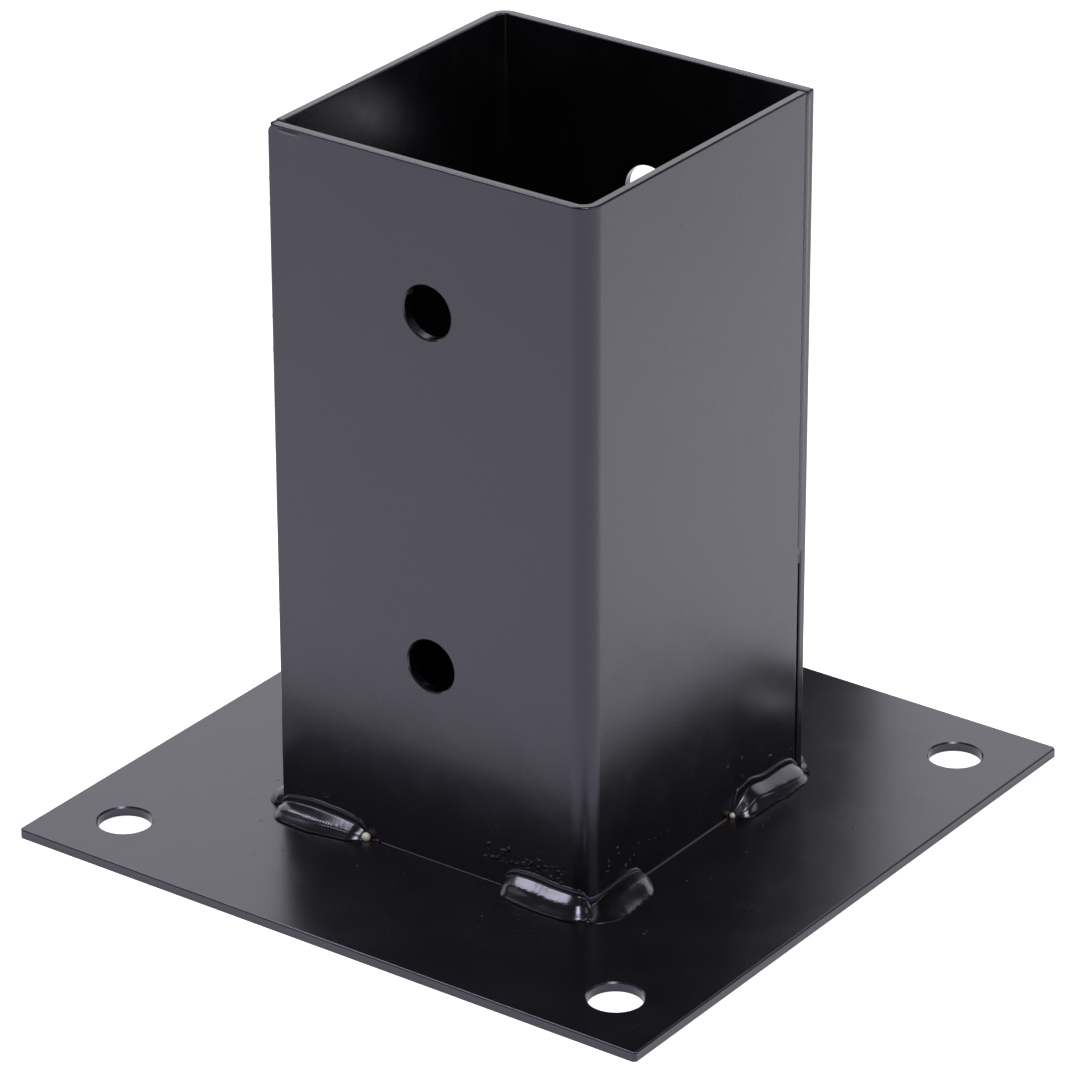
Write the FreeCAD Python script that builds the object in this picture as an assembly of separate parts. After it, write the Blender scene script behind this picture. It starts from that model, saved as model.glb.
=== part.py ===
import FreeCAD, Part
import math
import os

# A square timber post base, in millimetres. Two angles folded from steel sheet stand on a square
# base plate and make an open sleeve for the post. Two seam welds join them to each other, and
# eight short fillet welds hold them to the plate. The origin is the centre of the plate's
# underside, with +Z up.

# The post, and the room left round it
POST_SIDE = 70.0
POST_CLEARANCE = 0.5

# The sleeve's two angles
SHEET = 2.0
BEND_INNER_RADIUS = 2.0
SLEEVE_HEIGHT = 148.0
SEAM_SLIT = 0.6

# The corner that welding melted, across the full leg's end and down it
MELTED_CORNER_WIDTH = 1.3
MELTED_CORNER_DROP = 5.0

# The bolt holes through the two full legs
POST_HOLE = 11.0
LOWER_HOLE_ABOVE_PLATE = 43.0
UPPER_HOLE_BELOW_RIM = 30.0

# The base plate, which reaches past the sleeve by its flange on every side
PLATE_FLANGE = 37.5
PLATE_THICKNESS = 2.0
PLATE_CORNER_CUT = 0.6
ANCHOR_HOLE = 11.0
ANCHOR_INSET = 15.0

# The rounding on sheared edges and the bevel on punched rims, at most this share of the sheet
EDGE_ROUND = 0.4
PUNCHED_BEVEL = 0.3
MOST_EASED = 0.45

# The fillet welds in the sleeve's foot
FOOT_WELD_LENGTH = 22.0
FOOT_WELD_UP_WALL = 4.2
FOOT_WELD_ON_PLATE = 5.4
FOOT_WELD_AXIS_DEPTH = 0.5
FOOT_WELD_FROM_SEAM = 0.4
FOOT_WELD_PEAK = 0.34

# The ripples that the weld pool leaves, close in the foot welds and long in the seams
RIPPLE_HEIGHT = 0.12
FOOT_RIPPLE_PITCH = 2.75
SEAM_RIPPLE_PITCH = 8.5

# The seam welds, which fill the slit down from the rim and leave it open at its foot
SEAM_OPEN_FOOT = 46.0
SEAM_FILL_RECESS = 0.25
SEAM_CROWN_WIDTH = 3.4
SEAM_CROWN_HEIGHT = 0.5
SEAM_CROWN_BELOW_RIM = 0.5
SEAM_CROWN_PEAK = 0.4
LEFT_CROWN_LENGTH = 68.0
RIGHT_CROWN_LENGTH = 5.0

# Sizes that follow from those above
inner_half = POST_SIDE / 2 + POST_CLEARANCE
outer_half = inner_half + SHEET
bend_outer_radius = BEND_INNER_RADIUS + SHEET
sleeve_foot = PLATE_THICKNESS
sleeve_top = sleeve_foot + SLEEVE_HEIGHT
slit_far_side = outer_half - SHEET
slit_near_side = slit_far_side - SEAM_SLIT
plate_half = outer_half + PLATE_FLANGE
anchor_reach = plate_half - ANCHOR_INSET
sheet_round = min(EDGE_ROUND, MOST_EASED * SHEET)
sheet_bevel = min(PUNCHED_BEVEL, MOST_EASED * SHEET)
plate_round = min(EDGE_ROUND, MOST_EASED * PLATE_THICKNESS)
plate_bevel = min(PUNCHED_BEVEL, MOST_EASED * PLATE_THICKNESS)

ORIGIN = FreeCAD.Vector(0, 0, 0)
X_AXIS = FreeCAD.Vector(1, 0, 0)
Y_AXIS = FreeCAD.Vector(0, 1, 0)
Z_AXIS = FreeCAD.Vector(0, 0, 1)
FULL_TURN = 360
QUARTER_TURN = 90
HALF_TURN = 180
NO_LENGTH = 1e-6


def point(x, y, z):
    """A point in the part's frame."""
    return FreeCAD.Vector(x, y, z)


def line(start, end):
    """A straight edge."""
    return Part.LineSegment(start, end).toShape()


def arc(start, middle, end):
    """A round edge through three points."""
    return Part.Arc(start, middle, end).toShape()


def face(edges):
    """A flat face inside a closed run of edges."""
    return Part.Face(Part.Wire(edges))


def prism(corners, base_z, height):
    """An upright prism on a closed outline of (x, y) corners."""
    ring = [point(x, y, base_z) for x, y in corners]
    outline = Part.makePolygon(ring + [ring[0]])
    return Part.Face(outline).extrude(Z_AXIS * height)


def square_block(half, base_z, height):
    """An upright square block centred on the sleeve's axis."""
    return prism([(-half, -half), (half, -half), (half, half), (-half, half)], base_z, height)


def turned(shape, degrees):
    """A copy of a shape, turned about the sleeve's axis."""
    copy = shape.copy()
    copy.rotate(ORIGIN, Z_AXIS, degrees)
    return copy


def level_edges(shape, z):
    """The edges that lie in one level plane."""
    found = []
    for edge in shape.Edges:
        box = edge.BoundBox
        if abs(box.ZMin - z) < NO_LENGTH and abs(box.ZMax - z) < NO_LENGTH:
            found.append(edge)
    return found


def upright_edges(shape):
    """The straight edges that run along Z."""
    found = []
    for edge in shape.Edges:
        box = edge.BoundBox
        if box.XLength < NO_LENGTH and box.YLength < NO_LENGTH:
            found.append(edge)
    return found


def punched_hole(mouth, outwards, radius, depth, bevel):
    """The shape of a punched hole: a bore with a bevelled mouth on the side it was punched from."""
    bore = Part.makeCylinder(radius, depth, mouth, outwards * -1)
    return bore.fuse(Part.makeCone(radius + bevel, radius, bevel, mouth, outwards * -1))


def base_plate():
    """The square plate, blunt at its corners and round along its top edges, with anchor holes."""
    plate = square_block(plate_half, 0, PLATE_THICKNESS)
    plate = plate.makeChamfer(PLATE_CORNER_CUT, upright_edges(plate))
    plate = plate.makeFillet(plate_round, level_edges(plate, PLATE_THICKNESS))
    for x in (-anchor_reach, anchor_reach):
        for y in (-anchor_reach, anchor_reach):
            mouth = point(x, y, PLATE_THICKNESS)
            plate = plate.cut(punched_hole(mouth, Z_AXIS, ANCHOR_HOLE / 2, PLATE_THICKNESS, plate_bevel))
    return plate


def bend_arc(radius):
    """The start, middle and end of the fold's arc at one radius, in the sleeve's front corner."""
    across = inner_half - BEND_INNER_RADIUS
    slant = radius * math.sqrt(0.5)
    start = point(across, -across - radius, sleeve_foot)
    middle = point(across + slant, -across - slant, sleeve_foot)
    end = point(across + radius, -across, sleeve_foot)
    return start, middle, end


def angle_section():
    """The folded sheet from above: a full leg along the -Y wall, a bend, a short leg along +X."""
    outer_start, outer_middle, outer_end = bend_arc(bend_outer_radius)
    inner_start, inner_middle, inner_end = bend_arc(BEND_INNER_RADIUS)
    full_leg_outer = point(-outer_half, -outer_half, sleeve_foot)
    full_leg_inner = point(-outer_half, -inner_half, sleeve_foot)
    short_leg_outer = point(outer_half, slit_near_side, sleeve_foot)
    short_leg_inner = point(inner_half, slit_near_side, sleeve_foot)
    return face([
        line(full_leg_outer, outer_start),
        arc(outer_start, outer_middle, outer_end),
        line(outer_end, short_leg_outer),
        line(short_leg_outer, short_leg_inner),
        line(short_leg_inner, inner_end),
        arc(inner_end, inner_middle, inner_start),
        line(inner_start, full_leg_inner),
        line(full_leg_inner, full_leg_outer),
    ])


def post_hole(z):
    """The shape of one bolt hole through the full leg."""
    return punched_hole(point(0, -outer_half, z), Y_AXIS * -1, POST_HOLE / 2, SHEET, sheet_bevel)


def melted_corner():
    """What the seam weld's heat took off the top corner of the full leg."""
    tip = point(-outer_half, -outer_half, sleeve_top)
    across = point(-outer_half + MELTED_CORNER_WIDTH, -outer_half, sleeve_top)
    down = point(-outer_half, -outer_half, sleeve_top - MELTED_CORNER_DROP)
    belly = tip * 0.5 + (across + down) * 0.25
    outline = [line(tip, across), arc(across, belly, down), line(down, tip)]
    return face(outline).extrude(Y_AXIS * SHEET)


def folded_angle():
    """One angle of the sleeve, with its free edges rounded and its two bolt holes."""
    angle = angle_section().extrude(Z_AXIS * SLEEVE_HEIGHT)
    rounded = level_edges(angle, sleeve_top)
    for edge in upright_edges(angle):
        at_full_leg_end = abs(edge.BoundBox.XMin + outer_half) < NO_LENGTH
        at_short_leg_end = abs(edge.BoundBox.YMin - slit_near_side) < NO_LENGTH
        if at_full_leg_end or at_short_leg_end:
            rounded.append(edge)
    angle = angle.makeFillet(sheet_round, rounded)
    angle = angle.cut(post_hole(sleeve_foot + LOWER_HOLE_ABOVE_PLATE))
    return angle.cut(post_hole(sleeve_top - UPPER_HOLE_BELOW_RIM))


def weld_spindle(length, tip_radius, crown_radius, peak, ripple_pitch):
    """A rippled spindle from the origin along +X, thickest at the share of its length called peak."""

    def radius(share):
        away = (peak - share) / peak if share < peak else (share - peak) / (1 - peak)
        return tip_radius + (crown_radius - tip_radius) * math.sqrt(max(0.0, 1 - away * away))

    count = max(2, round(length / ripple_pitch))
    shares = [index / count for index in range(count + 1)]
    ring = [point(share * length, 0, radius(share)) for share in shares]
    edges = [line(ORIGIN, ring[0])]
    for start, end, share in zip(ring, ring[1:], shares):
        middle_share = share + 0.5 / count
        middle = point(middle_share * length, 0, radius(middle_share) + RIPPLE_HEIGHT)
        edges.append(line(start, middle))
        edges.append(line(middle, end))
    far_end = point(length, 0, 0)
    edges.append(line(ring[-1], far_end))
    edges.append(line(far_end, ORIGIN))
    return face(edges).revolve(ORIGIN, X_AXIS, FULL_TURN)


def sleeve_envelope():
    """The space inside the sleeve's outer faces, round at its two bends and square at its seams."""
    block = square_block(outer_half, sleeve_foot, SLEEVE_HEIGHT)
    bends = [edge for edge in upright_edges(block) if edge.BoundBox.XMin * edge.BoundBox.YMin < 0]
    return block.makeFillet(bend_outer_radius, bends)


def foot_bead(thick_at_corner):
    """A bead along the foot of the -Y wall from its left corner, thick there or at its other end.

    Its axis lies inside the steel, so that its round face meets the wall and the plate at the
    toes that the weld's two reaches give, and its tips run out in the corner between them.
    """
    out = FOOT_WELD_ON_PLATE
    rise = FOOT_WELD_UP_WALL
    behind = FOOT_WELD_AXIS_DEPTH
    below = (out * out - rise * rise + 2 * out * behind) / (2 * rise)
    tip_radius = math.hypot(behind, below)
    crown_radius = math.hypot(out + behind, below)
    peak = FOOT_WELD_PEAK if thick_at_corner else 1 - FOOT_WELD_PEAK
    from_corner = FOOT_WELD_FROM_SEAM if thick_at_corner else 0
    bead = weld_spindle(FOOT_WELD_LENGTH, tip_radius, crown_radius, peak, FOOT_RIPPLE_PITCH)
    bead.translate(point(-outer_half + from_corner, -outer_half + behind, sleeve_foot - below))
    return bead


def foot_welds():
    """The eight foot welds by name: two on each wall, thick where they end at a seam."""
    envelope = sleeve_envelope()
    to_diagonals = [(0, 0), (-plate_half, -plate_half), (plate_half, -plate_half)]
    in_front_of_wall = prism(to_diagonals, sleeve_foot, SLEEVE_HEIGHT)
    welds = {}
    for turns, side in enumerate(("front", "right", "rear", "left")):
        turn = QUARTER_TURN * turns
        room = turned(in_front_of_wall, turn).cut(envelope)
        seam_is_left = turn % HALF_TURN == 0
        for corner, thick_at_corner in (("seam", True), ("bend", False)):
            bead = foot_bead(thick_at_corner)
            if thick_at_corner != seam_is_left:
                bead = bead.mirror(ORIGIN, X_AXIS)
            welds["foot_weld_" + side + "_" + corner] = turned(bead, turn).common(room)
    return welds


def seam_crown(length):
    """The proud part of a seam weld, along the slit in the +X wall and cut off at the fill's face."""
    half_width = SEAM_CROWN_WIDTH / 2
    rise = SEAM_CROWN_HEIGHT
    radius = (half_width * half_width + rise * rise) / (2 * rise)
    slit_middle = slit_far_side - SEAM_SLIT / 2
    crown_top = sleeve_top - SEAM_CROWN_BELOW_RIM
    crown = weld_spindle(length, radius - rise, radius, SEAM_CROWN_PEAK, SEAM_RIPPLE_PITCH)
    crown.rotate(ORIGIN, Y_AXIS, QUARTER_TURN)
    crown.translate(point(outer_half + rise - radius, slit_middle, crown_top))
    reach = radius + RIPPLE_HEIGHT
    corner = point(outer_half - SEAM_FILL_RECESS, slit_middle - reach, crown_top - length)
    return crown.common(Part.makeBox(reach, 2 * reach, length, corner))


def seam_weld(crown_length, angles):
    """The weld in the slit of the +X wall: a fill between the angles, with a crown at its top."""
    fill_back = inner_half + sheet_round
    fill_face = outer_half - SEAM_FILL_RECESS
    fill_foot = sleeve_foot + SEAM_OPEN_FOOT
    fill_height = sleeve_top - sheet_round - fill_foot
    corner = point(fill_back, slit_near_side, fill_foot)
    fill = Part.makeBox(fill_face - fill_back, SEAM_SLIT, fill_height, corner)
    crown = seam_crown(crown_length)
    for angle in angles:
        crown = crown.cut(angle)
    return fill.fuse(crown).removeSplitter()


def build():
    """Every piece by name."""
    angle = folded_angle()
    opposite = turned(angle, HALF_TURN)
    right_seam = seam_weld(RIGHT_CROWN_LENGTH, (angle, opposite))
    left_seam = seam_weld(LEFT_CROWN_LENGTH, (angle, opposite))
    pieces = {
        "base_plate": base_plate(),
        "front_angle": angle.cut(melted_corner()),
        "rear_angle": opposite,
        "seam_weld_right": right_seam,
        "seam_weld_left": turned(left_seam, HALF_TURN),
    }
    pieces.update(foot_welds())
    return pieces


os.makedirs("parts", exist_ok=True)
for name, shape in build().items():
    shape.exportStep("parts/" + name + ".step")
    print(name, "solids", len(shape.Solids), "valid", shape.isValid(), "volume", round(shape.Volume, 1))
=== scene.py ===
"""Dresses the timber post base: powder coat, weld beads, spatter and a plain pale studio.

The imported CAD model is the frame. Its plate and its two folded angles keep their own shapes and
get a coat of paint. The foot welds and the seam welds are modelled here as the welder left them.
All lengths are in metres, in the CAD model's frame: the origin is the centre of the plate's
underside, +Z is up, and the walls with bolt holes face -Y and +Y.
"""

import enum
import logging
import math
import random
from dataclasses import dataclass, field

import bmesh
import bpy
from mathutils import Matrix, Vector, noise


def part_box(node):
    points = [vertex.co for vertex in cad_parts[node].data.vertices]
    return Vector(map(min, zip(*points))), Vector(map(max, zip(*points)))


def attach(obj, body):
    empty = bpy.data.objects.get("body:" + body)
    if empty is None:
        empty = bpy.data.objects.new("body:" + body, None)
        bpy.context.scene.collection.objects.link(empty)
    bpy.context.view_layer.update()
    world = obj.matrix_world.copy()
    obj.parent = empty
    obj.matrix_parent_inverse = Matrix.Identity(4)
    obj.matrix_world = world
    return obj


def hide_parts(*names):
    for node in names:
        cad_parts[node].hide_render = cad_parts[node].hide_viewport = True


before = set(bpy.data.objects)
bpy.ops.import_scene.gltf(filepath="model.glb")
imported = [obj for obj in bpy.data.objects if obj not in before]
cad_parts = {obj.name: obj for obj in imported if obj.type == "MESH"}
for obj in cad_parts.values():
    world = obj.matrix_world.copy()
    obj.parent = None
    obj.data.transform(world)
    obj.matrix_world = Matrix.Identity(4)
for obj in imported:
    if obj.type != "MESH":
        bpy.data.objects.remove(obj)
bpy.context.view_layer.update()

LOG = logging.getLogger("post_base")
MM = 0.001
SAME_PLACE = 0.01 * MM
MERGED = 0.0005 * MM
BODY = "root"

# The sleeve and plate as the CAD model has them
PLATE_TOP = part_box("base_plate")[1].z
SLEEVE_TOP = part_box("front_angle")[1].z
WALL_FACE = -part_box("front_angle")[0].y
BEND_RADIUS = 4.0 * MM
SHEET = 2.0 * MM
SLIT_FAR_SIDE = WALL_FACE - SHEET
SLIT_NEAR_SIDE = SLIT_FAR_SIDE - 0.6 * MM
SEAM_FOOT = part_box("seam_weld_right")[0].z

QUARTER = math.pi / 2
FULL_TURN = 2 * math.pi
UP = Vector((0.0, 0.0, 1.0))


class Wall(enum.Enum):
    """The sleeve's walls, as quarter turns from the front one."""

    FRONT = 0
    RIGHT = 1
    REAR = 2
    LEFT = 3

    def frame(self) -> Matrix:
        """The turn that brings the front wall's frame to this wall."""
        return Matrix.Rotation(QUARTER * self.value, 4, "Z")


class Corner(enum.Enum):
    """What the end of a wall meets: a welded seam's square corner, or a round bend."""

    SEAM = "seam"
    BEND = "bend"


class Slot(enum.Enum):
    """The record's material slots."""

    PLATE = "coated_plate"
    SLEEVE = "coated_sleeve"
    WELD = "coated_weld"


# ---- Finishes ----


class NodeBench:
    """Adds and links shader nodes in one material."""

    def __init__(self, name: str) -> None:
        """Starts a material with no nodes.

        Args:
            name: The material's name.
        """
        self.material = bpy.data.materials.new(name)
        self.material.use_nodes = True
        self.tree = self.material.node_tree
        self.tree.nodes.clear()

    def add(self, kind: str, **settings: object) -> bpy.types.ShaderNode:
        """Adds a node.

        Args:
            kind: The node's type name, without its ShaderNode prefix.
            **settings: Values for the node's own properties.

        Returns:
            The new node.
        """
        node = self.tree.nodes.new("ShaderNode" + kind)
        for key, value in settings.items():
            setattr(node, key, value)
        return node

    def feed(self, source: object, node: bpy.types.ShaderNode, socket: object) -> None:
        """Links an output, or sets a value, on a node's input.

        Args:
            source: An output socket, a number, or a tuple of numbers.
            node: The node to feed.
            socket: The input's name or index.
        """
        target = node.inputs[socket]
        if isinstance(source, bpy.types.NodeSocket):
            self.tree.links.new(source, target)
        else:
            target.default_value = source

    def maths(self, operation: str, first: object, second: object = 0.0) -> bpy.types.NodeSocket:
        """Adds a Math node.

        Args:
            operation: The node's operation.
            first: Its first input.
            second: Its second input.

        Returns:
            Its output.
        """
        node = self.add("Math", operation=operation)
        self.feed(first, node, 0)
        self.feed(second, node, 1)
        return node.outputs[0]

    def ramp(self, value: object, low: float, high: float, start: float = 0.0,
             end: float = 1.0) -> bpy.types.NodeSocket:
        """Maps a value smoothly from one range to another.

        Args:
            value: What is mapped.
            low: The value that gives start.
            high: The value that gives end.
            start: The result at and below low.
            end: The result at and above high.

        Returns:
            The mapped value.
        """
        node = self.add("MapRange", interpolation_type="SMOOTHSTEP")
        for socket, number in zip(range(5), (value, low, high, start, end)):
            self.feed(number, node, socket)
        return node.outputs[0]

    def noise(self, coordinates: bpy.types.NodeSocket, cell: float, detail: float = 2.0,
              roughness: float = 0.5, distortion: float = 0.0) -> bpy.types.NodeSocket:
        """Adds a noise of a real size.

        Args:
            coordinates: Where it is read, in metres.
            cell: The size of its features in metres.
            detail: Its octaves.
            roughness: How strong the finer octaves are.
            distortion: How far it swirls.

        Returns:
            Its value, about 0.5 on average.
        """
        node = self.add("TexNoise")
        self.feed(coordinates, node, "Vector")
        self.feed(1.0 / cell, node, "Scale")
        self.feed(detail, node, "Detail")
        self.feed(roughness, node, "Roughness")
        self.feed(distortion, node, "Distortion")
        return node.outputs["Fac"]

    def mix(self, share: object, first: object, second: object) -> bpy.types.NodeSocket:
        """Mixes two colours.

        Args:
            share: How much of the second.
            first: The first colour.
            second: The second colour.

        Returns:
            The mixed colour.
        """
        node = self.add("MixRGB")
        for socket, value in zip(range(3), (share, first, second)):
            self.feed(value, node, socket)
        return node.outputs[0]

    def dots(self, coordinates: bpy.types.NodeSocket, cell: float, radius: float,
             chance: float) -> bpy.types.NodeSocket:
        """Adds sparse round dots.

        Args:
            coordinates: Where they are read, in metres.
            cell: The spacing of the places where a dot may be.
            radius: A dot's radius.
            chance: The share of the places that have one.

        Returns:
            Its value, 1 in the middle of a dot and 0 outside.
        """
        node = self.add("TexVoronoi")
        self.feed(coordinates, node, "Vector")
        self.feed(1.0 / cell, node, "Scale")
        round_dot = self.ramp(node.outputs["Distance"], 0.0, radius / cell, 1.0, 0.0)
        picked = self.maths("LESS_THAN", node.outputs["Color"], chance)
        return self.maths("MULTIPLY", round_dot, picked)

    def bump(self, height: object, depth: float, under: object = None) -> bpy.types.NodeSocket:
        """Adds a bump of a real depth.

        Args:
            height: The relief, from 0 to 1.
            depth: Its depth in metres.
            under: The normal that it stands on.

        Returns:
            The new normal.
        """
        node = self.add("Bump")
        self.feed(1.0, node, "Strength")
        self.feed(depth, node, "Distance")
        self.feed(height, node, "Height")
        if under is not None:
            self.feed(under, node, "Normal")
        return node.outputs["Normal"]


DUST = (0.16, 0.155, 0.16, 1.0)
RUST = (0.030, 0.014, 0.008, 1.0)


@dataclass(frozen=True)
class PowderCoat:
    """Glossy black powder coat with orange peel, pocks, dust and brown specks by the welds."""

    name: str
    base: tuple[float, float, float] = (0.0030, 0.0029, 0.0037)
    tint: tuple[float, float, float, float] = (0.79, 0.76, 1.0, 1.0)
    index: float = 1.645
    roughness: float = 0.26
    unevenness: float = 0.02
    peel_cell: float = 1.6 * MM
    peel_depth: float = 0.0045 * MM
    roll_cell: float = 14.0 * MM
    roll_depth: float = 0.020 * MM
    pock_cell: float = 8.0 * MM
    pock_radius: float = 0.4 * MM
    pock_depth: float = 0.005 * MM
    pock_chance: float = 0.20
    dust_cell: float = 5.0 * MM
    dust_radius: float = 0.11 * MM
    dust_chance: float = 0.30
    rust: float = 0.0

    def build(self) -> bpy.types.Material:
        """Makes the material.

        Returns:
            The finished material.
        """
        bench = NodeBench(self.name)
        place = bench.add("TexCoord").outputs["Object"]
        shader = bench.add("BsdfPrincipled")
        output = bench.add("OutputMaterial")
        bench.feed(shader.outputs[0], output, "Surface")
        bench.feed(self._colour(bench, place), shader, "Base Color")
        patches = bench.noise(place, 9.0 * MM, detail=4.0, roughness=0.6)
        gloss = bench.ramp(patches, 0.3, 0.7, self.roughness - self.unevenness,
                           self.roughness + self.unevenness)
        bench.feed(gloss, shader, "Roughness")
        bench.feed(self.index, shader, "IOR")
        bench.feed(self.tint, shader, "Specular Tint")
        bench.feed(self._relief(bench, place), shader, "Normal")
        return bench.material

    def _colour(self, bench: NodeBench, place: bpy.types.NodeSocket) -> bpy.types.NodeSocket:
        """Black that varies a little, with sparse dust and, by the sleeve's foot, brown specks.

        Args:
            bench: The material's bench.
            place: The object coordinates.

        Returns:
            The colour.
        """
        cloud = bench.noise(place, 18.0 * MM, detail=3.0)
        shades = [(*(share * c for c in self.base), 1.0) for share in (0.75, 1.3)]
        mottled = bench.mix(bench.ramp(cloud, 0.35, 0.65), *shades)
        dust = bench.dots(place, self.dust_cell, self.dust_radius, self.dust_chance)
        dusty = bench.mix(dust, mottled, DUST)
        if self.rust <= 0.0:
            return dusty
        axes = bench.add("SeparateXYZ")
        bench.feed(place, axes, 0)
        out = bench.maths("MAXIMUM", bench.maths("ABSOLUTE", axes.outputs["X"]),
                          bench.maths("ABSOLUTE", axes.outputs["Y"]))
        beside = bench.ramp(out, WALL_FACE + 1.0 * MM, WALL_FACE + 5.0 * MM, 1.0, 0.0)
        low = bench.ramp(axes.outputs["Z"], 3.0 * MM, 9.0 * MM, 1.0, 0.0)
        near = bench.maths("MULTIPLY", beside, low)
        grain = bench.noise(place, 0.9 * MM, detail=3.0, roughness=0.7)
        amount = bench.maths("MULTIPLY", bench.ramp(grain, 0.50, 0.66, 0.0, self.rust), near)
        return bench.mix(amount, dusty, RUST)

    def _relief(self, bench: NodeBench, place: bpy.types.NodeSocket) -> bpy.types.NodeSocket:
        """Slow waves in the sheet, the coat's orange peel, and a few pocks.

        Args:
            bench: The material's bench.
            place: The object coordinates.

        Returns:
            The surface normal.
        """
        waves = bench.bump(bench.noise(place, self.roll_cell, detail=1.0), self.roll_depth)
        peel = bench.bump(bench.noise(place, self.peel_cell, detail=1.5), self.peel_depth, waves)
        pocks = bench.dots(place, self.pock_cell, self.pock_radius, self.pock_chance)
        return bench.bump(pocks, self.pock_depth, peel)


PLATE_COAT = PowderCoat("powder_coat_plate", rust=0.6)
SLEEVE_COAT = PowderCoat("powder_coat_sleeve", rust=0.6)
WELD_COAT = PowderCoat("powder_coat_weld", roughness=0.19, peel_cell=1.2 * MM,
                       peel_depth=0.005 * MM, roll_cell=4.0 * MM, roll_depth=0.012 * MM, rust=0.3)
SEAM_COAT = PowderCoat("powder_coat_seam", index=1.50, roughness=0.28, peel_cell=1.0 * MM,
                       peel_depth=0.006 * MM)
LINE_COAT = PowderCoat("powder_coat_line", roughness=0.34, rust=0.7)
# The drops at the bead ends: bare slag, with its pale colour raised beyond the slag's own tone to
# paint in the drops' highlight as well.
SLAG_AND_PAINTED_HIGHLIGHT = PowderCoat("bare_slag", base=(0.86, 0.80, 0.70), tint=(1.0, 1.0, 1.0, 1.0), index=1.5,
                  roughness=0.3)


# ---- Pieces ----


def finish_piece(name: str, mesh: bmesh.types.BMesh, slot: Slot, material: bpy.types.Material,
                 *replaced: str) -> bpy.types.Object:
    """Turns a bmesh into a smooth object that rides on the part.

    Args:
        name: The piece's name.
        mesh: Its shape, already in place. It is freed.
        slot: The record's slot that its finish comes from. Not used.
        material: Its finish.
        *replaced: The CAD nodes that it stands for.

    Returns:
        The new object.
    """
    bmesh.ops.remove_doubles(mesh, verts=mesh.verts, dist=MERGED)
    bmesh.ops.recalc_face_normals(mesh, faces=mesh.faces)
    data = bpy.data.meshes.new(name)
    mesh.to_mesh(data)
    mesh.free()
    for polygon in data.polygons:
        polygon.use_smooth = True
    data.materials.append(material)
    piece = bpy.data.objects.new(name, data)
    bpy.context.scene.collection.objects.link(piece)
    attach(piece, BODY)
    if replaced:
        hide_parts(*replaced)
    LOG.info("%s: %d faces", name, len(data.polygons))
    return piece


@dataclass
class CoatedSteel:
    """The plate and the two folded angles, which keep their CAD shapes under the coat."""

    plate_nodes: tuple[str, ...] = ("base_plate",)
    sleeve_nodes: tuple[str, ...] = ("front_angle", "rear_angle")

    def dress(self) -> None:
        """Gives each node its coat."""
        for names, coat in ((self.plate_nodes, PLATE_COAT), (self.sleeve_nodes, SLEEVE_COAT)):
            material = coat.build()
            for name in names:
                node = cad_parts[name]
                node.data.materials.clear()
                node.data.materials.append(material)
                LOG.info("%s: coated", name)


@dataclass(frozen=True)
class Ripples:
    """The crescents that the weld pool leaves across a bead."""

    pitch: float = 1.05 * MM
    depth: float = 0.045 * MM
    start: float = 0.1
    end: float = 0.9
    fade: float = 0.08
    sweep: float = 0.7


@dataclass(frozen=True)
class Crease:
    """A shallow fold along a bead's open face, between its upper and its lower facet."""

    depth: float = 0.10 * MM
    near: float = 0.75
    far: float = 0.50
    width: float = 0.05


@dataclass(frozen=True)
class Bead:
    """One foot weld, which runs along its wall's foot from near a corner.

    Its reach on the plate and its rise on the wall are given at even steps along it, in mm. Its
    body takes a share of the rise, with a section drawn towards a knee, and above it the metal is
    washed thin up the wall. A slope makes the body's top fall flat to that tip. Lumps are a share
    of the section, and swell and grain are heights in mm.
    """

    wall: Wall
    corner: Corner
    start: float
    end: float
    reach: tuple[float, ...]
    rise: tuple[float, ...]
    seed: int
    noses: tuple[float, float] = (3.0 * MM, 4.2 * MM)
    knee_near: tuple[float, float] = (0.64, 0.76)
    knee_far: tuple[float, float] = (0.62, 0.66)
    sharpness: float = 2.4
    body: float = 0.82
    lumps: float = 0.05
    swell: float = 0.02
    grain: float = 0.012
    slopes: tuple[float, float] = (0.0, 0.0)
    ripples: Ripples | None = None
    crease: Crease | None = None

    @property
    def name(self) -> str:
        """The CAD node that this bead stands for."""
        return "foot_weld_" + self.wall.name.lower() + "_" + self.corner.value

    @property
    def length(self) -> float:
        """The bead's whole length."""
        return self.end - self.start

    def girth(self, share: float) -> float:
        """How full the bead is, from 0 at its two tips to 1 between its noses.

        Args:
            share: The place along it.

        Returns:
            The share of its full section.
        """
        full = 1.0
        for distance, nose in zip((share * self.length, (1 - share) * self.length), self.noses):
            if distance < nose:
                full *= math.sqrt(max(0.0, 1 - (1 - distance / nose) ** 2))
        return full

    def top(self, share: float, full: float) -> float:
        """How high the body stands, under the flat falls to its tips.

        Args:
            share: The place along it.
            full: Its height without them.

        Returns:
            The height.
        """
        for distance, slope in zip((share * self.length, (1 - share) * self.length), self.slopes):
            if slope > 0.0 and full > 0.0:
                fall = TIP_HEIGHT + slope * distance
                full = (full ** -6 + fall ** -6) ** (-1 / 6)
        return full


def along_knots(knots: tuple[float, ...], share: float) -> float:
    """Reads a smooth curve through evenly spaced values.

    Args:
        knots: The values.
        share: Where it is read, from 0 to 1.

    Returns:
        The value there.
    """
    spot = min(max(share, 0.0), 1.0) * (len(knots) - 1)
    index = min(int(spot), len(knots) - 2)
    part = spot - index
    before, here = knots[max(index - 1, 0)], knots[index]
    there, after = knots[index + 1], knots[min(index + 2, len(knots) - 1)]
    return 0.5 * (2 * here + (there - before) * part
                  + (2 * before - 5 * here + 4 * there - after) * part ** 2
                  + (3 * here - before - 3 * there + after) * part ** 3)


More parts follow.
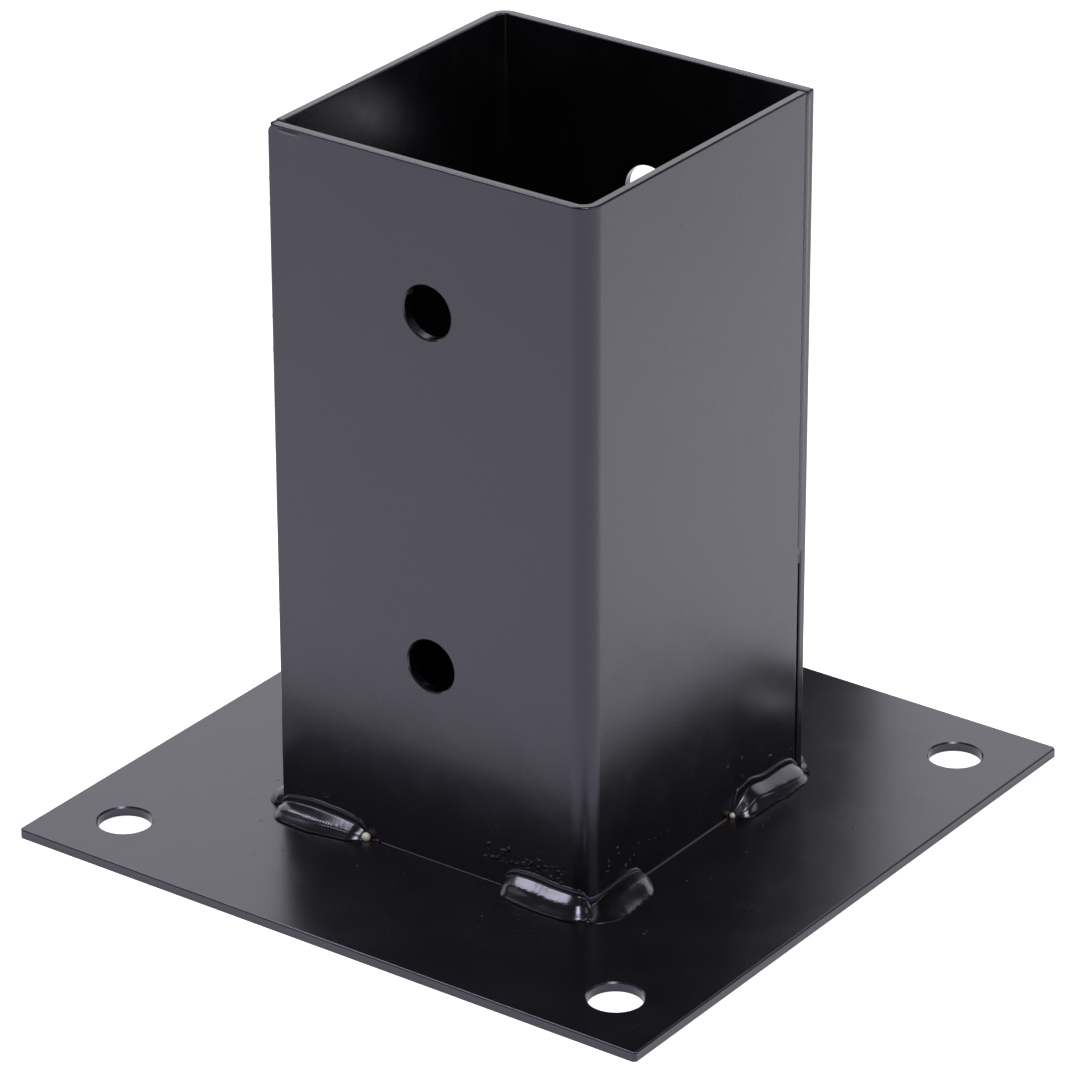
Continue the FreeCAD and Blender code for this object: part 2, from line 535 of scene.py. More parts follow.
# What all eight beads share: the mesh, the buried side, the body and its wash, and the skirt that
# thins out at both toes
RINGS = 240
AROUND = 80
SHOWN_SHARE = 0.75
TUCK = 0.30 * MM
TUCK_FADE = 1.0 * MM
TIP_HEIGHT = 0.4 * MM
BODY_SHARE = 0.76
WASH = 0.45 * MM
MOST_WASH = 0.3
SKIRT_ANGLE = 0.12
SKIRT = 0.30 * MM

# Where the beads' lumps and swells read the noise
LUMP_CELL = 7.0 * MM
LUMP_SHIFT = 1.7
LUMP_APART = Vector((0.0, 0.0, 9.0))
SWELL_CELL = 2.2 * MM
SWELLS_ACROSS = 2.6
SWELL_SHIFT = 5.1
GRAIN_FINENESS = 3.4


class FootWelds:
    """The eight short fillet welds between the sleeve and the plate."""

    def __init__(self, beads: tuple[Bead, ...]) -> None:
        """Keeps the beads to build.

        Args:
            beads: The eight beads.
        """
        self.beads = beads

    def build(self) -> None:
        """Makes each bead as a piece of its own, in place of its CAD node."""
        material = WELD_COAT.build()
        for bead in self.beads:
            finish_piece("bead_" + bead.name[len("foot_weld_"):], self._mesh(bead), Slot.WELD,
                         material, bead.name)

    def _mesh(self, bead: Bead) -> bmesh.types.BMesh:
        """A sphere drawn out along the wall's foot and shaped ring by ring.

        Args:
            bead: The bead to model.

        Returns:
            Its mesh, in place.
        """
        mesh = bmesh.new()
        bmesh.ops.create_uvsphere(mesh, u_segments=AROUND, v_segments=RINGS, radius=1.0)
        for vertex in mesh.verts:
            share = (1 + max(-1.0, min(1.0, vertex.co.z))) / 2
            turn = (math.atan2(vertex.co.y, vertex.co.x) % FULL_TURN) / FULL_TURN
            vertex.co = self._point(bead, share, turn)
        bmesh.ops.transform(mesh, matrix=bead.wall.frame(), verts=mesh.verts)
        return mesh

    def _point(self, bead: Bead, share: float, turn: float) -> Vector:
        """Where a point of the drawn-out sphere goes, in the front wall's frame.

        Args:
            bead: The bead to model.
            share: The place along the bead.
            turn: From 0 to 1 round the bead: first the part that shows, from toe to toe.

        Returns:
            The point.
        """
        girth = bead.girth(share)
        spot = Vector((share * bead.length / LUMP_CELL, bead.seed * LUMP_SHIFT, 0.0))
        reach = (along_knots(bead.reach, share) * MM * girth
                 * (1 + bead.lumps * 2 * noise.noise(spot)))
        rise = (along_knots(bead.rise, share) * MM * girth
                * (1 + bead.lumps * 2 * noise.noise(spot + LUMP_APART)))
        if turn <= SHOWN_SHARE:
            out, up = self._shown(bead, share, girth, turn / SHOWN_SHARE, reach, rise)
        else:
            out, up = self._hidden((turn - SHOWN_SHARE) / (1 - SHOWN_SHARE), reach, rise)
        return foot_point(bead.wall, bead.corner, bead.start + share * bead.length, out, up)

    def _shown(self, bead: Bead, share: float, girth: float, across: float, reach: float,
               rise: float) -> tuple[float, float]:
        """The section of the bead's open face.

        Args:
            bead: The bead to model.
            share: The place along it.
            girth: How full the bead is there.
            across: From 0 at the plate toe to 1 at the wall toe.
            reach: The bead's reach on the plate there.
            rise: Its height on the wall there.

        Returns:
            The distance out from the wall and up from the plate.
        """
        top = bead.top(share, rise * bead.body)
        wash = min(WASH * girth, MOST_WASH * reach)
        if across < BODY_SHARE:
            part = across / BODY_SHARE
            low, high = (1 - part) ** 2, part ** 2
            pull = 2 * bead.sharpness * part * (1 - part)
            knee_out, knee_up = (near + (far - near) * share
                                 for near, far in zip(bead.knee_near, bead.knee_far))
            whole = low + pull + high
            out = wash + (reach - wash) * (low + pull * knee_out) / whole
            up = top * (high + pull * knee_up) / whole
            lean = QUARTER * across
        else:
            climb = (across - BODY_SHARE) / (1 - BODY_SHARE)
            out = wash * math.sqrt(1 - climb ** 3)
            up = top + (rise - top) * climb
            lean = QUARTER * BODY_SHARE * (1 - climb)
        relief = self._relief(bead, share, across) * math.sin(math.pi * across)
        relief *= min(1.0, 2 * girth)
        out += relief * math.cos(lean)
        up += relief * math.sin(lean)
        skirt = SKIRT * girth
        if across < SKIRT_ANGLE:
            out += skirt * (1 - across / SKIRT_ANGLE) ** 2
        if across > 1 - SKIRT_ANGLE:
            up += skirt * (1 - (1 - across) / SKIRT_ANGLE) ** 2
        return out, up

    @staticmethod
    def _relief(bead: Bead, share: float, across: float) -> float:
        """How far the bead's face stands proud of its smooth section.

        Args:
            bead: The bead to model.
            share: The place along it.
            across: From 0 at the plate toe to 1 at the wall toe.

        Returns:
            The height.
        """
        run = share * bead.length
        height = 0.0
        if bead.ripples:
            ripples = bead.ripples
            inside = min(share - ripples.start, ripples.end - share) / ripples.fade
            inside = min(1.0, max(0.0, inside))
            lag = ripples.sweep * (across - 0.5) ** 2 * 4
            height += inside * ripples.depth * math.sin(FULL_TURN * (run / ripples.pitch - lag))
        if bead.crease:
            crease = bead.crease
            line = crease.near + (crease.far - crease.near) * share
            height -= crease.depth * math.exp(-((across - line) / crease.width) ** 2)
        spot = Vector((run / SWELL_CELL, across * SWELLS_ACROSS, bead.seed * SWELL_SHIFT))
        swell = bead.swell * noise.noise(spot) + bead.grain * noise.noise(spot * GRAIN_FINENESS)
        return height + swell * MM

    @staticmethod
    def _hidden(share: float, reach: float, rise: float) -> tuple[float, float]:
        """The section of the bead's buried side, from the wall toe by the root to the plate toe.

        Args:
            share: From 0 at the wall toe to 1 at the plate toe.
            reach: The bead's reach on the plate there.
            rise: Its height on the wall there.

        Returns:
            The distance out from the wall and up from the plate.
        """
        depth = TUCK * min(1.0, max(reach, rise) / TUCK_FADE)
        if share < 0.5:
            down = 2 * share
            inward = math.sin(QUARTER * min(1.0, 3 * down))
            return -depth * inward, rise * (1 - down) - depth * down
        along = 2 * share - 1
        downward = math.sin(QUARTER * min(1.0, 3 * (1 - along)))
        return reach * along - depth * (1 - along), -depth * downward


def foot_point(wall: Wall, corner: Corner, run: float, out: float, up: float) -> Vector:
    """A point by a wall's foot, in the front wall's frame.

    Args:
        wall: The wall.
        corner: The corner that the run is measured from, round a bend along its outside.
        run: The distance along the foot from the corner, and negative past it.
        out: The distance out from the wall.
        up: The distance up from the plate.

    Returns:
        The point.
    """
    height = PLATE_TOP + up
    side = -1.0 if (corner is Corner.SEAM) == (wall in (Wall.FRONT, Wall.REAR)) else 1.0
    if corner is Corner.SEAM:
        return Vector((side * (WALL_FACE - run), -WALL_FACE - out, height))
    straight = BEND_RADIUS * math.pi / 4
    if run >= straight:
        return Vector((side * (WALL_FACE - BEND_RADIUS - run + straight), -WALL_FACE - out, height))
    angle = (straight - run) / BEND_RADIUS
    centre = WALL_FACE - BEND_RADIUS
    radius = BEND_RADIUS + out
    return Vector((side * (centre + radius * math.sin(angle)), -centre - radius * math.cos(angle),
                   height))


BEADS = (
    Bead(Wall.FRONT, Corner.SEAM, -0.6 * MM, 21.7 * MM, (4.0, 5.4, 5.7, 5.1, 4.3, 3.4),
         (2.8, 4.1, 4.6, 4.4, 4.2, 3.8), 1, noses=(2.8 * MM, 3.4 * MM), knee_near=(0.55, 0.87),
         knee_far=(0.58, 0.54), sharpness=7.0, body=0.66,
         ripples=Ripples(pitch=0.62 * MM, depth=0.022 * MM, start=0.16, end=0.70),
         crease=Crease(near=0.02, far=0.30)),
    Bead(Wall.FRONT, Corner.BEND, -1.2 * MM, 19.6 * MM, (4.7, 4.9, 5.2, 5.2, 4.6, 3.8),
         (4.4, 4.5, 4.7, 4.9, 4.7, 4.0), 2, noses=(3.0 * MM, 3.8 * MM), knee_near=(0.46, 0.65),
         knee_far=(0.54, 0.66), sharpness=5.0, body=0.78, lumps=0.03),
    Bead(Wall.RIGHT, Corner.BEND, -1.2 * MM, 17.8 * MM, (4.6, 6.1, 6.4, 6.0, 5.5, 5.0),
         (2.4, 3.1, 3.3, 3.5, 3.7, 3.7), 3, noses=(1.8 * MM, 5.8 * MM), knee_near=(0.48, 0.66),
         knee_far=(0.58, 1.00), sharpness=2.4, body=0.86, slopes=(0.45, 0.0)),
    Bead(Wall.RIGHT, Corner.SEAM, 1.4 * MM, 25.4 * MM, (3.4, 4.8, 4.9, 4.3, 4.4, 4.0),
         (2.8, 4.4, 4.9, 5.0, 5.6, 5.2), 4, noses=(3.4 * MM, 2.4 * MM), knee_near=(0.66, 0.62),
         knee_far=(0.60, 0.66), body=0.74, lumps=0.08, slopes=(0.0, 0.85),
         crease=Crease(depth=0.07 * MM, near=0.10, far=0.42)),
    Bead(Wall.REAR, Corner.SEAM, 0.3 * MM, 21.8 * MM, (3.4, 4.8, 5.4, 4.9, 4.2, 3.4),
         (2.6, 3.8, 4.4, 4.2, 3.8, 3.2), 5, knee_near=(0.60, 0.80), knee_far=(0.70, 0.52),
         slopes=(0.0, 0.40), ripples=Ripples(pitch=0.8 * MM, depth=0.025 * MM, start=0.2, end=0.7)),
    Bead(Wall.REAR, Corner.BEND, -1.2 * MM, 20.6 * MM, (4.6, 5.1, 5.0, 5.2, 4.6, 3.8),
         (2.3, 3.4, 4.4, 4.9, 4.6, 3.8), 6, knee_near=(0.68, 0.46), sharpness=2.8, body=0.74,
         ripples=Ripples(pitch=0.7 * MM, depth=0.02 * MM, start=0.35, end=0.85)),
    Bead(Wall.LEFT, Corner.BEND, -1.2 * MM, 20.2 * MM, (4.6, 5.5, 5.7, 5.4, 4.9, 4.0),
         (2.3, 3.0, 3.4, 3.8, 3.6, 3.1), 7, noses=(1.6 * MM, 5.0 * MM), knee_near=(0.60, 0.60),
         knee_far=(0.56, 0.92), body=0.86, slopes=(0.45, 0.0), crease=Crease()),
    Bead(Wall.LEFT, Corner.SEAM, -0.4 * MM, 22.6 * MM, (4.2, 4.8, 5.0, 4.6, 4.3, 3.6),
         (4.0, 4.8, 4.6, 4.3, 4.0, 3.4), 8, noses=(3.0 * MM, 3.0 * MM), body=0.74,
         slopes=(0.0, 0.42),
         ripples=Ripples(pitch=0.9 * MM, depth=0.025 * MM, start=0.25, end=0.7)),
)


@dataclass(frozen=True)
class Globule:
    """A round drop left at a weld: glassy slag that shed its paint, made paler as a painted
    highlight, or painted weld metal.
    """

    wall: Wall
    corner: Corner
    run: float
    out: float
    up: float
    radius: float
    bare: bool = False
    along: float = 1.0
    outwards: float = 1.0


class Globules:
    """The drops at the ends of the foot welds, and the lip of weld metal below the rim."""

    def __init__(self, drops: tuple[Globule, ...]) -> None:
        """Keeps the drops to build.

        Args:
            drops: The drops.
        """
        self.drops = drops

    def build(self) -> None:
        """Makes the slag drops, pale partly as a painted highlight, as one piece and the painted
        ones as another.
        """
        # The slag drops' pale finish is partly a painted highlight.
        for bare, name, coat in ((True, "bare_drops", SLAG_AND_PAINTED_HIGHLIGHT), (False, "painted_drops", WELD_COAT)):
            mesh = bmesh.new()
            for drop in self.drops:
                if drop.bare is bare:
                    spot = foot_point(drop.wall, drop.corner, drop.run, drop.out, drop.up)
                    on_bend = drop.corner is Corner.BEND and drop.run < BEND_RADIUS
                    lean = Matrix.Rotation(QUARTER / 2 if on_bend else 0.0, 4, "Z")
                    shape = Matrix.Diagonal((drop.along, drop.outwards, 1.0, 1.0))
                    place = drop.wall.frame() @ Matrix.Translation(spot) @ lean @ shape
                    bmesh.ops.create_icosphere(mesh, subdivisions=3, radius=drop.radius,
                                               matrix=place)
            finish_piece(name, mesh, Slot.WELD, coat.build())


# The drops marked for slag get a pale finish that partly paints in their highlight.
GLOBULES = (
    Globule(Wall.FRONT, Corner.SEAM, 21.5 * MM, 0.8 * MM, 0.55 * MM, 0.90 * MM, bare=True),
    Globule(Wall.RIGHT, Corner.SEAM, 25.9 * MM, 0.5 * MM, 0.40 * MM, 0.60 * MM, bare=True),
    Globule(Wall.FRONT, Corner.SEAM, 24.0 * MM, 0.1 * MM, 0.15 * MM, 0.30 * MM, along=2.6),
    Globule(Wall.FRONT, Corner.BEND, -0.1 * MM, 4.2 * MM, 0.35 * MM, 0.55 * MM, outwards=1.9),
    Globule(Wall.FRONT, Corner.SEAM, 5.2 * MM, -0.62 * MM, 147.1 * MM, 0.80 * MM, along=5.8),
    Globule(Wall.REAR, Corner.SEAM, 21.6 * MM, 0.7 * MM, 0.4 * MM, 0.65 * MM, bare=True),
    Globule(Wall.LEFT, Corner.SEAM, 22.8 * MM, 0.5 * MM, 0.4 * MM, 0.60 * MM),
    Globule(Wall.REAR, Corner.BEND, 21.0 * MM, 0.6 * MM, 0.4 * MM, 0.55 * MM),
)


@dataclass(frozen=True)
class Seam:
    """One seam weld down the slit between the two angles, in the right wall's own place.

    A crown stands proud at the top for its length. Below it the slit is filled for a way, and then
    the metal lies back in it.
    """

    wall: Wall
    crown_length: float
    crown_width: float
    crown_height: float
    seed: int
    filled_length: float = 60.0 * MM
    recess: float = 0.28 * MM
    rounding: float = 0.7 * MM
    ripple: float = 0.10 * MM
    ripple_pitch: float = 1.7 * MM
    knob: float = 0.35 * MM

    @property
    def node(self) -> str:
        """The CAD node that this seam stands for."""
        return "seam_weld_" + self.wall.name.lower()


SEAM_AROUND = 36
SEAM_STEP = 0.32 * MM
SEAM_BELOW_RIM = 0.35 * MM
SEAM_CELL = 2.1 * MM
SEAM_SHIFT = 7.31
CROWN_RUNOUT = 3.0 * MM
FILL_RUNOUT = 2.0 * MM
KNOB_BELOW_TOP = 1.6 * MM
KNOB_SIZE = 1.4 * MM
FILL_BACK = 1.5 * MM
EDGE_SUNK = 0.35
SEAM_TIP = 1.0 * MM
SLIT_MIDDLE = (SLIT_FAR_SIDE + SLIT_NEAR_SIDE) / 2
SLIT_WIDTH = SLIT_FAR_SIDE - SLIT_NEAR_SIDE


class SeamWelds:
    """The two seam welds between the folded angles."""

    def __init__(self, seams: tuple[Seam, ...]) -> None:
        """Keeps the seams to build.

        Args:
            seams: The two seams.
        """
        self.seams = seams

    def build(self) -> None:
        """Makes each seam as a piece of its own, in place of its CAD node."""
        material = SEAM_COAT.build()
        for seam in self.seams:
            finish_piece("seam_" + seam.wall.name.lower(), self._mesh(seam), Slot.WELD, material,
                         seam.node)

    def _mesh(self, seam: Seam) -> bmesh.types.BMesh:
        """A capped tube down the slit, cut into short lengths and shaped ring by ring.

        Args:
            seam: The seam to model.

        Returns:
            Its mesh, in place.
        """
        top = SLEEVE_TOP - SEAM_BELOW_RIM
        length = top - SEAM_FOOT
        mesh = bmesh.new()
        bmesh.ops.create_cone(mesh, cap_ends=True, segments=SEAM_AROUND, radius1=1.0, radius2=1.0,
                              depth=length)
        upright = [edge for edge in mesh.edges
                   if abs(edge.verts[0].co.z - edge.verts[1].co.z) > length / 2]
        bmesh.ops.subdivide_edges(mesh, edges=upright, cuts=int(length / SEAM_STEP),
                                  use_grid_fill=True)
        for vertex in mesh.verts:
            down = length / 2 - vertex.co.z
            angle = math.atan2(vertex.co.y, vertex.co.x)
            vertex.co = self._point(seam, down, length, angle, top - down)
        if seam.wall is Wall.LEFT:
            bmesh.ops.rotate(mesh, cent=(0, 0, 0), matrix=Matrix.Rotation(math.pi, 3, "Z"),
                             verts=mesh.verts)
        return mesh

    @staticmethod
    def _point(seam: Seam, down: float, length: float, angle: float, height: float) -> Vector:
        """Where a point of the tube goes.

        Args:
            seam: The seam to model.
            down: The distance below the seam's top.
            length: The seam's whole length.
            angle: The point's place round the tube, 0 where it faces out.
            height: Its height.

        Returns:
            The point.
        """
        spot = Vector((down / SEAM_CELL, seam.seed * SEAM_SHIFT, 0.0))
        wander = noise.noise(spot)
        crown = smooth_fall(down, seam.crown_length, CROWN_RUNOUT)
        start = 1 - math.exp(-((down / seam.rounding) ** 2))
        ripple = math.sin(FULL_TURN * (down / seam.ripple_pitch - 0.5 * math.sin(angle) ** 2))
        knob = seam.knob * math.exp(-((down - KNOB_BELOW_TOP) / KNOB_SIZE) ** 2)
        proud = seam.crown_height * (1 + 0.35 * wander) + seam.ripple * ripple + knob
        proud = crown * start * proud
        wide = crown * (seam.crown_width - SLIT_WIDTH) * (1 + 0.18 * wander) * (0.55 + 0.45 * start)
        filled = smooth_fall(down, seam.filled_length, FILL_RUNOUT)
        sunk = ((1 - crown) * (1 - 0.85 * filled)
                * seam.recess * (1 + 0.6 * wander + 0.3 * noise.noise(spot * 2.3)))
        facing_out = math.cos(angle)
        across = math.sin(angle)
        if facing_out >= 0.0:
            dish = EDGE_SUNK + (1 - EDGE_SUNK) * facing_out ** 0.5
            out = WALL_FACE + proud * facing_out ** 0.8 - sunk * dish
            side = SLIT_MIDDLE + across * (SLIT_WIDTH + wide) / 2
        else:
            depth = (-facing_out) ** 0.5
            out = WALL_FACE - sunk * EDGE_SUNK - FILL_BACK * depth
            side = SLIT_MIDDLE + across * (SLIT_WIDTH + wide * max(0.0, 1 - 4 * depth)) / 2
        end = min(1.0, (length - down) / SEAM_TIP)
        return Vector((WALL_FACE - FILL_BACK + (out - WALL_FACE + FILL_BACK) * end, side, height))


def smooth_fall(value: float, limit: float, width: float) -> float:
    """A smooth fall from 1 to 0 about a limit.

    Args:
        value: Where it is read.
        limit: The middle of the fall.
        width: The fall's width.

    Returns:
        The share, from 0 to 1.
    """
    share = min(1.0, max(0.0, (limit + width / 2 - value) / width))
    return share * share * (3 - 2 * share)


SEAMS = (
    Seam(Wall.RIGHT, 98.0 * MM, 1.5 * MM, 0.06 * MM, 3, filled_length=102.0 * MM, recess=0.9 * MM,
         ripple=0.01 * MM, knob=0.03 * MM),
    Seam(Wall.LEFT, 68.0 * MM, 3.4 * MM, 0.55 * MM, 5, knob=0.20 * MM, rounding=2.6 * MM),
)


@dataclass
class FootPaint:
    """The thin line of paint that fills the joint between the sleeve's foot and the plate.

    Its section is given in steps, as shares of its reach and its rise. Along the front wall it is
    thinner.
    """

    reach: float = 0.27 * MM
    rise: float = 0.27 * MM
    below: float = 0.10 * MM
    front_share: float = 0.5
    inner_cover: float = 1.0 * MM
    steps: tuple[tuple[float, float], ...] = ((0.45, 0.18), (0.75, 0.42), (1.0, 1.0))

    def build(self) -> None:
        """Makes the line as one ring round the sleeve."""
        mesh = bmesh.new()
        half = WALL_FACE + self.reach
        bmesh.ops.create_cube(mesh, size=1.0)
        bmesh.ops.scale(mesh, vec=(2 * half, 2 * half, self.below), verts=mesh.verts)
        bmesh.ops.translate(mesh, vec=(0, 0, PLATE_TOP - self.below / 2), verts=mesh.verts)
        self._round_corners(mesh)
        outer = [face for face in mesh.faces if abs(face.normal.z) > 0.9]
        top = max(outer, key=lambda face: face.calc_center_median().z)
        bottom = min(outer, key=lambda face: face.calc_center_median().z)
        run = 0.0
        for share, lift in self.steps:
            bmesh.ops.inset_region(mesh, faces=[top], thickness=self.reach * share - run,
                                   use_even_offset=True)
            run = self.reach * share
            for vertex in top.verts:
                vertex.co.z = PLATE_TOP + self.rise * lift
        bmesh.ops.inset_region(mesh, faces=[top], thickness=self.inner_cover, use_even_offset=True)
        bmesh.ops.inset_region(mesh, faces=[bottom], thickness=self.reach + self.inner_cover,
                               use_even_offset=True)
        rims = [*top.edges, *bottom.edges]
        bmesh.ops.delete(mesh, geom=[top, bottom], context="FACES_ONLY")
        bmesh.ops.bridge_loops(mesh, edges=rims)
        for vertex in mesh.verts:
            if vertex.co.y < -WALL_FACE:
                vertex.co.y = -WALL_FACE + (vertex.co.y + WALL_FACE) * self.front_share
                vertex.co.z = PLATE_TOP + (vertex.co.z - PLATE_TOP) * self.front_share
        finish_piece("foot_joint_paint", mesh, Slot.SLEEVE, LINE_COAT.build())

    def _round_corners(self, mesh: bmesh.types.BMesh) -> None:
        """Rounds the upright edges: widely at the two bends, and a little at the two seams.

        Args:
            mesh: The block to round.
        """
        corners = ((True, BEND_RADIUS + self.reach, 10), (False, self.reach, 3))
        for at_bend, radius, segments in corners:
            edges = [edge for edge in mesh.edges
                     if abs(edge.verts[0].co.z - edge.verts[1].co.z) > self.below / 2
                     and abs(edge.verts[0].co.x - edge.verts[1].co.x) < SAME_PLACE
                     and abs(abs(edge.verts[0].co.x) - abs(edge.verts[0].co.y)) < SAME_PLACE
                     and (edge.verts[0].co.x * edge.verts[0].co.y < 0) == at_bend]
            bmesh.ops.bevel(mesh, geom=edges, offset=radius, affect="EDGES", segments=segments,
                            profile=0.5, material=-1)


@dataclass(frozen=True)
class Splash:
    """A patch of weld spatter under the coat, on a wall or on the plate beside it.

    It lies from first to last along the wall, and from near to far above the foot or out from it.
    Crowding draws the droplets to the near side, and fineness makes most of them small.
    """

    wall: Wall
    on_plate: bool
    first: float
    last: float
    near: float
    far: float
    count: int
    small: float = 0.18 * MM
    large: float = 0.45 * MM
    proud: float = 0.38
    crowding: float = 1.6
    fineness: float = 2.5
    stretch: tuple[float, float] = (0.8, 2.2)
    seed: int = 1


class Spatter:
    """The droplets that the welder's arc threw on the walls and the plate."""

    def __init__(self, splashes: tuple[Splash, ...]) -> None:
        """Keeps the patches to build.

        Args:
            splashes: The patches.
        """
        self.splashes = splashes

    def build(self) -> None:
        """Makes all the droplets as two pieces, one on the walls and one on the plate."""
        material = WELD_COAT.build()
        for on_plate, name, slot in ((False, "spatter_on_walls", Slot.SLEEVE),
                                     (True, "spatter_on_plate", Slot.PLATE)):
            mesh = bmesh.new()
            for splash in self.splashes:
                if splash.on_plate is on_plate:
                    self._scatter(mesh, splash)
            finish_piece(name, mesh, slot, material)

    @staticmethod
    def _scatter(mesh: bmesh.types.BMesh, splash: Splash) -> None:
        """Adds one patch's droplets.

        Args:
            mesh: What they are added to.
            splash: The patch.
        """
        draw = random.Random(splash.seed)
        for _ in range(splash.count):
            along = draw.uniform(splash.first, splash.last)
            away = splash.near + (splash.far - splash.near) * draw.random() ** splash.crowding
            radius = splash.small + (splash.large - splash.small) * draw.random() ** splash.fineness
            stretch, lean = draw.uniform(*splash.stretch), draw.uniform(0.0, FULL_TURN)
            if splash.on_plate:
                spot = Vector((along, -WALL_FACE - away, PLATE_TOP))
                tilt = Matrix.Identity(4)
            else:
                spot = Vector((along, -WALL_FACE, PLATE_TOP + away))
                tilt = Matrix.Rotation(QUARTER, 4, "X")
            shape = Matrix.Diagonal((radius * stretch, radius, radius * splash.proud, 1.0))
            place = (splash.wall.frame() @ Matrix.Translation(spot) @ tilt
                     @ Matrix.Rotation(lean, 4, "Z") @ shape)
            bmesh.ops.create_icosphere(mesh, subdivisions=2, radius=1.0, matrix=place)


SPLASHES = (
    Splash(Wall.FRONT, False, 13 * MM, 33 * MM, 4.9 * MM, 8.4 * MM, 80, small=0.14 * MM,
           large=0.46 * MM, proud=0.5, seed=11),
    Splash(Wall.FRONT, False, -35 * MM, -12 * MM, 5.2 * MM, 10.0 * MM, 9, seed=12),
    Splash(Wall.RIGHT, False, -33 * MM, -10 * MM, 4.2 * MM, 12.0 * MM, 16, large=0.50 * MM,
           seed=14),
    Splash(Wall.RIGHT, False, 10 * MM, 34 * MM, 6.0 * MM, 13.0 * MM, 9, seed=15),
    Splash(Wall.REAR, False, -34 * MM, 34 * MM, 5.2 * MM, 14.0 * MM, 26, seed=16),
    Splash(Wall.LEFT, False, -34 * MM, 34 * MM, 5.2 * MM, 14.0 * MM, 24, seed=17),
    *(Splash(wall, True, -40 * MM, 40 * MM, 6.5 * MM, far * MM, count, large=0.30 * MM,
             seed=21 + wall.value)
      for wall, far, count in ((Wall.FRONT, 20.0, 16), (Wall.RIGHT, 24.0, 18),
                               (Wall.REAR, 20.0, 14), (Wall.LEFT, 20.0, 14))),
)


# ---- Studio ----


@dataclass(frozen=True)
class Softbox:
    """A rectangular lamp. It faces the post base, or a place beside it where it is moved aside.

    Azimuth and elevation are in degrees, and radiance is how bright the lamp's own face is.
    """

    name: str
    azimuth: float
    elevation: float
    distance: float
    width: float
    height: float
    radiance: float
    left: float = 0.0
    up: float = 0.0

    def place(self, target: Vector) -> None:
        """Hangs the lamp.

        Args:
            target: What it faces.
        """
        data = bpy.data.lights.new(self.name, "AREA")
        data.shape = "RECTANGLE"
        data.size = self.width
        data.size_y = self.height
        data.energy = self.radiance * math.pi * self.width * self.height
        lamp = bpy.data.objects.new(self.name, data)
        bpy.context.scene.collection.objects.link(lamp)
        away = outward(self.azimuth, self.elevation)
        beside = UP.cross(away).normalized()
        spot = target + away * self.distance + beside * self.left + UP * self.up
        lamp.matrix_world = facing(spot, away)
        lamp.visible_camera = False


def outward(azimuth: float, elevation: float) -> Vector:
    """The direction from the object to an onlooker.

    Args:
        azimuth: Degrees round from -Y towards +X.
        elevation: Degrees above level.

    Returns:
        A unit vector.
    """
    around, above = math.radians(azimuth), math.radians(elevation)
    return Vector((math.sin(around) * math.cos(above), -math.cos(around) * math.cos(above),
                   math.sin(above)))


def facing(place: Vector, back: Vector, roll: float = 0.0) -> Matrix:
    """The frame of a camera or lamp at a place, with its back to a direction.

    Args:
        place: Where it stands.
        back: The direction away from what it faces.
        roll: Radians that its right side tips up.

    Returns:
        Its matrix.
    """
    right = UP.cross(back).normalized()
    up = back.cross(right)
    tipped_right = math.cos(roll) * right + math.sin(roll) * up
    tipped_up = -math.sin(roll) * right + math.cos(roll) * up
    turn = Matrix((tipped_right, tipped_up, back)).transposed()
    return Matrix.Translation(place) @ turn.to_4x4()


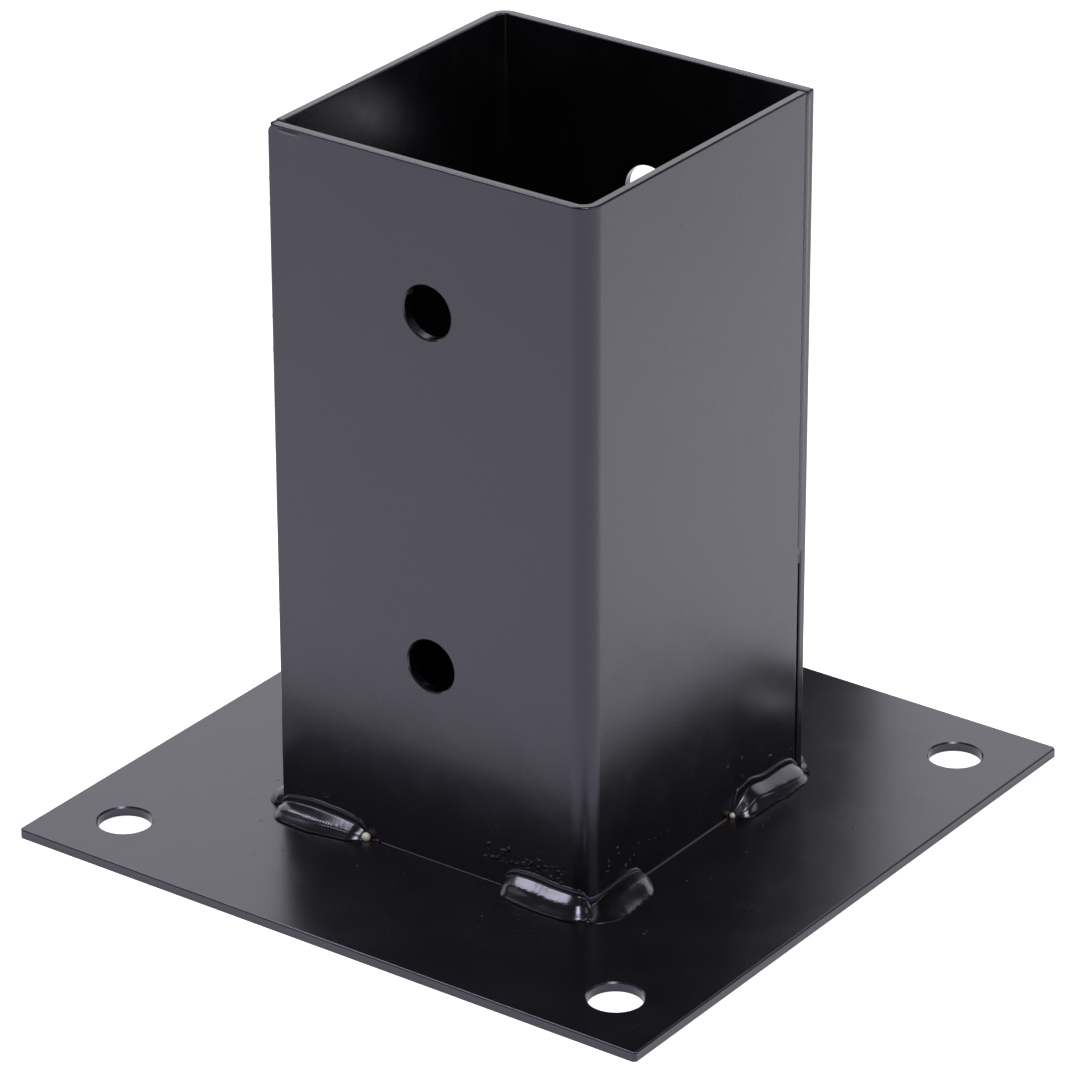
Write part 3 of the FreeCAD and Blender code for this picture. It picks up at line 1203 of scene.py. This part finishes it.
@dataclass
class Studio:
    """The plain pale floor, the soft light and the camera."""

    azimuth: float = 35.9
    elevation: float = 25.98
    roll: float = -0.14
    distance: float = 1.2
    focal_share: float = 6066.0 / 1080.0
    sensor: float = 36.0
    aim_height: float = 57.5 * MM
    aim_right: float = -0.7 * MM
    floor_size: float = 24.0
    floor_white: float = 0.90
    floor_glow: float = 0.64
    world_level: float = 0.12
    softboxes: tuple[Softbox, ...] = field(default_factory=lambda: (
        Softbox("softbox_back_left", -144.1, 0.0, 0.130, 0.36, 0.26, 1.45, left=0.190, up=0.078),
        Softbox("softbox_back_right", -144.1, 0.0, 0.130, 0.23, 0.26, 1.45, left=-0.1895, up=0.078),
        Softbox("softbox_back_top", -144.1, 0.0, 0.130, 0.0845, 0.105, 1.45, left=-0.0322,
                up=0.1555),
        Softbox("softbox_front_left", -36.0, 28.0, 2.2, 1.4, 1.0, 0.8),
        Softbox("softbox_right", 95.0, 27.0, 1.5, 1.3, 0.7, 1.8),
        Softbox("softbox_overhead", -86.0, 58.0, 1.6, 0.64, 0.46, 9.0),
        Softbox("softbox_front_right", 52.0, 60.0, 1.6, 0.44, 0.44, 14.0),
    ))

    def build(self) -> None:
        """Sets up the whole studio."""
        self._camera()
        self._world()
        self._floor()
        for softbox in self.softboxes:
            softbox.place(UP * self.aim_height)
        bpy.context.scene.view_settings.view_transform = "Standard"

    def _camera(self) -> None:
        """Puts the camera at the photograph's viewing angle."""
        data = bpy.data.cameras.new("camera")
        data.sensor_width = self.sensor
        data.lens = self.focal_share * self.sensor
        data.clip_start = 0.01
        data.clip_end = 100.0
        camera = bpy.data.objects.new("camera", data)
        bpy.context.scene.collection.objects.link(camera)
        back = outward(self.azimuth, self.elevation)
        right = UP.cross(back).normalized()
        aim = UP * self.aim_height + right * self.aim_right
        camera.matrix_world = facing(aim + back * self.distance, back, math.radians(self.roll))
        bpy.context.scene.camera = camera

    def _world(self) -> None:
        """Lights everything evenly from a plain pale sky."""
        world = bpy.data.worlds.new("studio_air")
        world.use_nodes = True
        background = world.node_tree.nodes["Background"]
        background.inputs["Color"].default_value = (1.0, 1.0, 1.0, 1.0)
        background.inputs["Strength"].default_value = self.world_level
        bpy.context.scene.world = world

    def _floor(self) -> None:
        """Lays the white floor, which glows a little for the camera and in reflections."""
        mesh = bmesh.new()
        bmesh.ops.create_grid(mesh, x_segments=4, y_segments=4, size=self.floor_size / 2)
        data = bpy.data.meshes.new("studio_floor")
        mesh.to_mesh(data)
        mesh.free()
        bench = NodeBench("studio_floor_white")
        path = bench.add("LightPath")
        seen = bench.maths("ADD", path.outputs["Is Camera Ray"], path.outputs["Is Glossy Ray"])
        seen = bench.maths("ADD", seen, path.outputs["Is Transmission Ray"])
        seen = bench.maths("MINIMUM", seen, 1.0)
        white = bench.add("BsdfDiffuse")
        bench.feed((self.floor_white, self.floor_white, self.floor_white, 1.0), white, "Color")
        glow = bench.add("Emission")
        bench.feed(bench.maths("MULTIPLY", seen, self.floor_glow), glow, "Strength")
        both = bench.add("AddShader")
        bench.feed(white.outputs[0], both, 0)
        bench.feed(glow.outputs[0], both, 1)
        bench.feed(both.outputs[0], bench.add("OutputMaterial"), "Surface")
        data.materials.append(bench.material)
        floor = bpy.data.objects.new("studio_floor", data)
        bpy.context.scene.collection.objects.link(floor)


def main() -> None:
    logging.basicConfig(level=logging.INFO)
    Studio().build()
    CoatedSteel().dress()
    FootWelds(BEADS).build()
    Globules(GLOBULES).build()
    SeamWelds(SEAMS).build()
    FootPaint().build()
    Spatter(SPLASHES).build()


if __name__ == "__main__":
    main()
